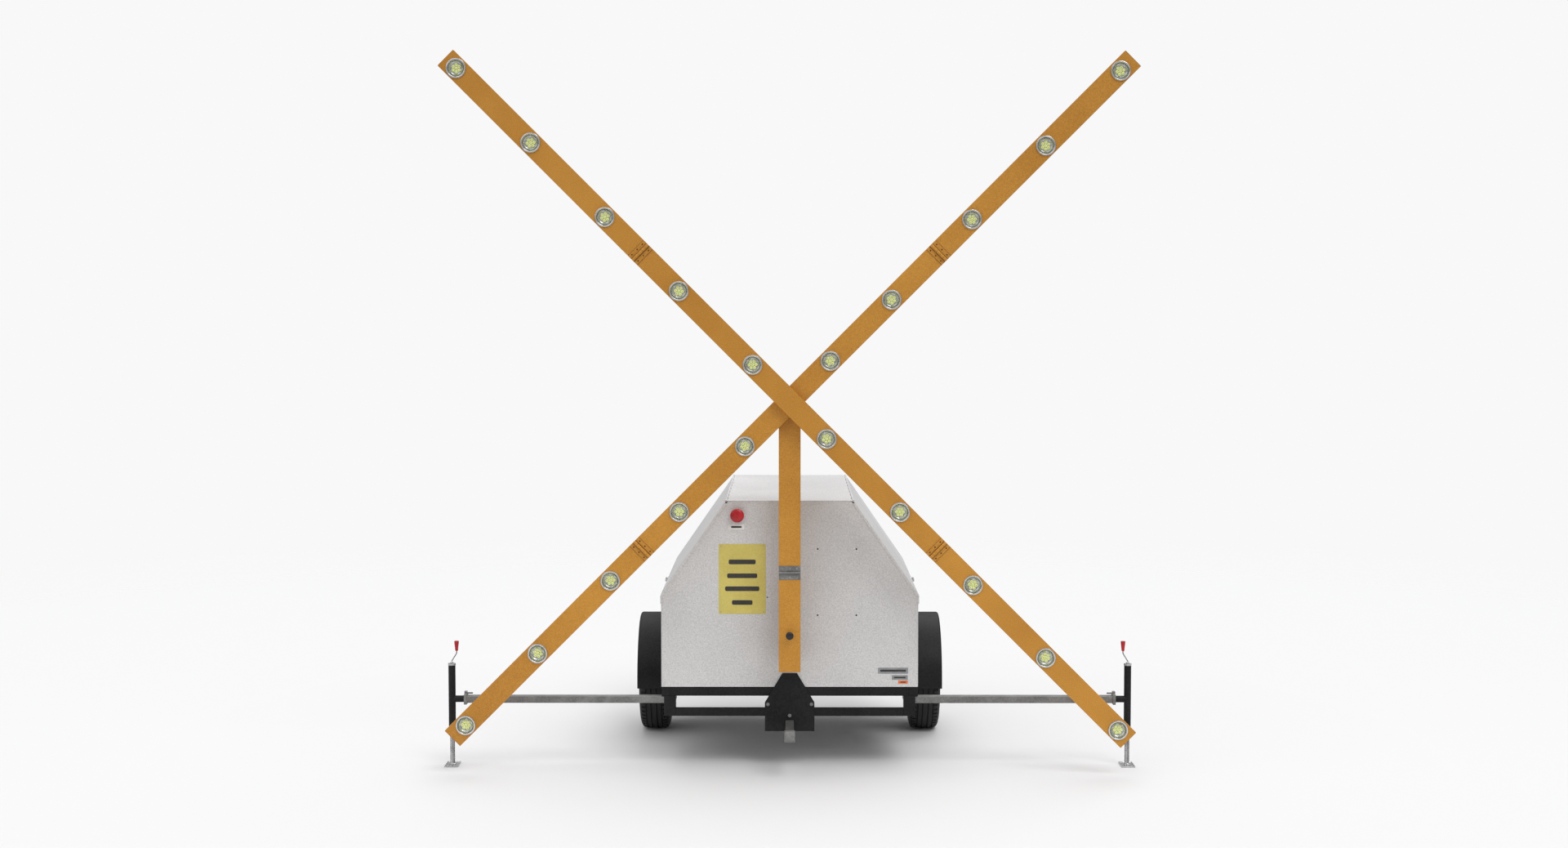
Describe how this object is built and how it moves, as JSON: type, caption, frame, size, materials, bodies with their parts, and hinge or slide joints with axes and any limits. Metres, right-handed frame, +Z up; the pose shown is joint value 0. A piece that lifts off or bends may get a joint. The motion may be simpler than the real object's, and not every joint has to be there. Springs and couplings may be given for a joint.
{
  "type": "lighted x runway closure trailer",
  "caption": "Towable generator cabinet with a folding mast that holds a large X of lamps, with outrigger jacks, sliding drawbar and opening side lids.",
  "frame": {"origin": "on the ground under the middle of the overall box of the parked trailer", "axes": "+Z up, +Y from the drawbar towards the rear, +X to the right for a viewer at the front"},
  "size_m": [4.102, 2.286, 4.195],
  "materials": {
    "orange_paint": "satin orange paint, light orange-peel",
    "cabinet_paint": "pale grey textured paint",
    "black_paint": "satin black paint",
    "galvanised": "dull galvanised steel with fine scratches",
    "bright_steel": "bright zinc plate",
    "tyre_rubber": "matt rubber",
    "rim_paint": "gloss white paint",
    "engine_paint": "dark engine enamel",
    "alternator_paint": "blue-grey enamel",
    "tank_plastic": "moulded black plastic",
    "battery_plastic": "moulded battery case",
    "control_paint": "grey powder coat",
    "button_red": "glossy red plastic",
    "grip_red": "glossy red plastic",
    "knob_black": "black plastic",
    "sign_yellow": "pale yellow enamel",
    "lamp_body": "bright bezel and reflector behind glass"
  },
  "bodies": {
    "trailer": {"chassis_frame": "black_paint", "drawbar_sleeve": "black_paint", "front_plate": "black_paint", "plate_bolts": "galvanised", "fork_pockets": "black_paint", "axle_beam": "black_paint", "fenders": "black_paint", "cabinet_floor": "cabinet_paint", "front_panel": "cabinet_paint", "rear_panel": "cabinet_paint", "side_panels": "cabinet_paint", "roof_panel": "cabinet_paint", "lid_hinge_pins": "bright_steel", "engine": "engine_paint", "alternator": "alternator_paint", "fuel_tank": "tank_plastic", "batteries": "battery_plastic", "control_box": "control_paint", "mast_brackets": "orange_paint", "lower_mast": "orange_paint", "mast_lower_leaf": "galvanised", "stop_collar": "knob_black", "sign_plate": "sign_yellow"},
    "stop_button": {"stop_button": "button_red"},
    "mast_knob": {"mast_knob": "knob_black"},
    "drawbar": {"drawbar": "galvanised"},
    "mast_and_x": {"upper_mast": "orange_paint", "mast_upper_leaf": "galvanised", "arm_front_inner": "orange_paint", "arm_back_inner": "orange_paint", "arm_fold_hinges": "orange_paint", "lamps_inner": "lamp_body"},
    "arm_upper_left": {"arm_upper_left": "orange_paint", "lamps_upper_left": "lamp_body"},
    "arm_upper_right": {"arm_upper_right": "orange_paint", "lamps_upper_right": "lamp_body"},
    "arm_lower_left": {"arm_lower_left": "orange_paint", "lamps_lower_left": "lamp_body"},
    "arm_lower_right": {"arm_lower_right": "orange_paint", "lamps_lower_right": "lamp_body"},
    "lid_left": {"lid_left": "cabinet_paint"},
    "lid_latch_left": {"lid_latch_left": "bright_steel"},
    "suspension_left": {"suspension_arm_left": "black_paint"},
    "wheel_left": {"tyre_left": "tyre_rubber", "rim_left": "rim_paint"},
    "outrigger_left": {"outrigger_left": "galvanised"},
    "jack_left": {"jack_tube_left": "black_paint"},
    "jack_leg_left": {"jack_leg_left": "bright_steel"},
    "jack_crank_left": {"jack_crank_left": "bright_steel"},
    "jack_grip_left": {"jack_grip_left": "grip_red"},
    "lid_right": {"lid_right": "cabinet_paint"},
    "lid_latch_right": {"lid_latch_right": "bright_steel"},
    "suspension_right": {"suspension_arm_right": "black_paint"},
    "wheel_right": {"tyre_right": "tyre_rubber", "rim_right": "rim_paint"},
    "outrigger_right": {"outrigger_right": "galvanised"},
    "jack_right": {"jack_tube_right": "black_paint"},
    "jack_leg_right": {"jack_leg_right": "bright_steel"},
    "jack_crank_right": {"jack_crank_right": "bright_steel"},
    "jack_grip_right": {"jack_grip_right": "grip_red"}
  },
  "joints": [
    {"name": "stop_button_press", "type": "slide", "parent": "trailer", "child": "stop_button", "axis": [0, 1, 0], "range_m": [0, 0.008], "stiffness_N_per_m": 900},
    {"name": "mast_knob_pull", "type": "slide", "parent": "trailer", "child": "mast_knob", "axis": [0, -1, 0], "range_m": [0, 0.02], "stiffness_N_per_m": 600},
    {"name": "drawbar_slide", "type": "slide", "parent": "trailer", "child": "drawbar", "axis": [0, -1, 0], "range_m": [0, 1.2]},
    {"name": "mast_fold", "type": "hinge", "parent": "trailer", "child": "mast_and_x", "pos_m": [0, -0.96, 1.184], "axis": [1, 0, 0], "range_deg": [0, 90]},
    {"name": "arm_upper_right_fold", "type": "hinge", "parent": "mast_and_x", "child": "arm_upper_right", "pos_m": [0.85701, -1.007, 3.04101], "axis": [0.7071, 0, -0.7071], "range_deg": [0, 176.5]},
    {"name": "arm_upper_left_fold", "type": "hinge", "parent": "mast_and_x", "child": "arm_upper_left", "pos_m": [-0.85701, -1.052, 3.04101], "axis": [0.7071, 0, 0.7071], "range_deg": [0, 171.5]},
    {"name": "arm_lower_left_fold", "type": "hinge", "parent": "mast_and_x", "child": "arm_lower_left", "pos_m": [-0.85701, -1.007, 1.32699], "axis": [-0.7071, 0, 0.7071], "range_deg": [0, 160.5]},
    {"name": "arm_lower_right_fold", "type": "hinge", "parent": "mast_and_x", "child": "arm_lower_right", "pos_m": [0.85701, -1.052, 1.32699], "axis": [-0.7071, 0, -0.7071], "range_deg": [0, 155.5]},
    {"name": "lid_left_open", "type": "hinge", "parent": "trailer", "child": "lid_left", "pos_m": [-0.376, 0, 1.5845], "axis": [0, 1, 0], "range_deg": [0, 75]},
    {"name": "lid_latch_left_turn", "type": "hinge", "parent": "lid_left", "child": "lid_latch_left", "pos_m": [-0.765, 0.2, 0.997], "axis": [1, 0, 0], "range_deg": [0, 90]},
    {"name": "suspension_left_swing", "type": "hinge", "parent": "trailer", "child": "suspension_left", "pos_m": [-0.742, 0.327, 0.375], "axis": [1, 0, 0], "range_deg": [-6, 10], "stiffness_Nm_per_rad": 12000, "springref_deg": -1.72},
    {"name": "wheel_left_spin", "type": "hinge", "parent": "suspension_left", "child": "wheel_left", "pos_m": [-0.864, 0.477, 0.345], "axis": [1, 0, 0], "continuous": true},
    {"name": "outrigger_left_slide", "type": "slide", "parent": "trailer", "child": "outrigger_left", "axis": [1, 0, 0], "range_m": [0, 0.5]},
    {"name": "jack_left_swivel", "type": "hinge", "parent": "outrigger_left", "child": "jack_left", "pos_m": [-1.957, -0.705, 0.398], "axis": [1, 0, 0], "range_deg": [0, 90]},
    {"name": "jack_left_crank_turn", "type": "hinge", "parent": "jack_left", "child": "jack_crank_left", "pos_m": [-2.011, -0.705, 0.62], "axis": [0, 0, 1], "range_deg": [-2520, 5400]},
    {"name": "jack_left_leg_slide", "type": "slide", "parent": "jack_left", "child": "jack_leg_left", "axis": [0, 0, 1], "range_m": [-0.0701, 0.1501]},
    {"name": "jack_left_grip_spin", "type": "hinge", "parent": "jack_crank_left", "child": "jack_grip_left", "pos_m": [-1.99, -0.65417, 0.7], "axis": [0, 0, 1], "continuous": true},
    {"name": "lid_right_open", "type": "hinge", "parent": "trailer", "child": "lid_right", "pos_m": [0.376, 0, 1.5845], "axis": [0, -1, 0], "range_deg": [0, 75]},
    {"name": "lid_latch_right_turn", "type": "hinge", "parent": "lid_right", "child": "lid_latch_right", "pos_m": [0.765, 0.2, 0.997], "axis": [1, 0, 0], "range_deg": [0, 90]},
    {"name": "suspension_right_swing", "type": "hinge", "parent": "trailer", "child": "suspension_right", "pos_m": [0.742, 0.327, 0.375], "axis": [1, 0, 0], "range_deg": [-6, 10], "stiffness_Nm_per_rad": 12000, "springref_deg": -1.72},
    {"name": "wheel_right_spin", "type": "hinge", "parent": "suspension_right", "child": "wheel_right", "pos_m": [0.864, 0.477, 0.345], "axis": [1, 0, 0], "continuous": true},
    {"name": "outrigger_right_slide", "type": "slide", "parent": "trailer", "child": "outrigger_right", "axis": [-1, 0, 0], "range_m": [0, 0.5]},
    {"name": "jack_right_swivel", "type": "hinge", "parent": "outrigger_right", "child": "jack_right", "pos_m": [1.957, -0.705, 0.398], "axis": [1, 0, 0], "range_deg": [0, 90]},
    {"name": "jack_right_crank_turn", "type": "hinge", "parent": "jack_right", "child": "jack_crank_right", "pos_m": [2.011, -0.705, 0.62], "axis": [0, 0, 1], "range_deg": [-2520, 5400]},
    {"name": "jack_right_leg_slide", "type": "slide", "parent": "jack_right", "child": "jack_leg_right", "axis": [0, 0, 1], "range_m": [-0.0701, 0.1501]},
    {"name": "jack_right_grip_spin", "type": "hinge", "parent": "jack_crank_right", "child": "jack_grip_right", "pos_m": [1.99, -0.65417, 0.7], "axis": [0, 0, 1], "continuous": true}
  ],
  "couplings": [
    {"joint": "arm_upper_right_fold", "follows": "mast_fold", "ratio": 1.9556},
    {"joint": "arm_upper_left_fold", "follows": "mast_fold", "ratio": 1.9},
    {"joint": "arm_lower_left_fold", "follows": "mast_fold", "ratio": 1.7778},
    {"joint": "arm_lower_right_fold", "follows": "mast_fold", "ratio": 1.7222},
    {"joint": "jack_left_leg_slide", "follows": "jack_left_crank_turn", "m_per_rad": 0.0015915},
    {"joint": "jack_right_leg_slide", "follows": "jack_right_crank_turn", "m_per_rad": 0.0015915}
  ]
}
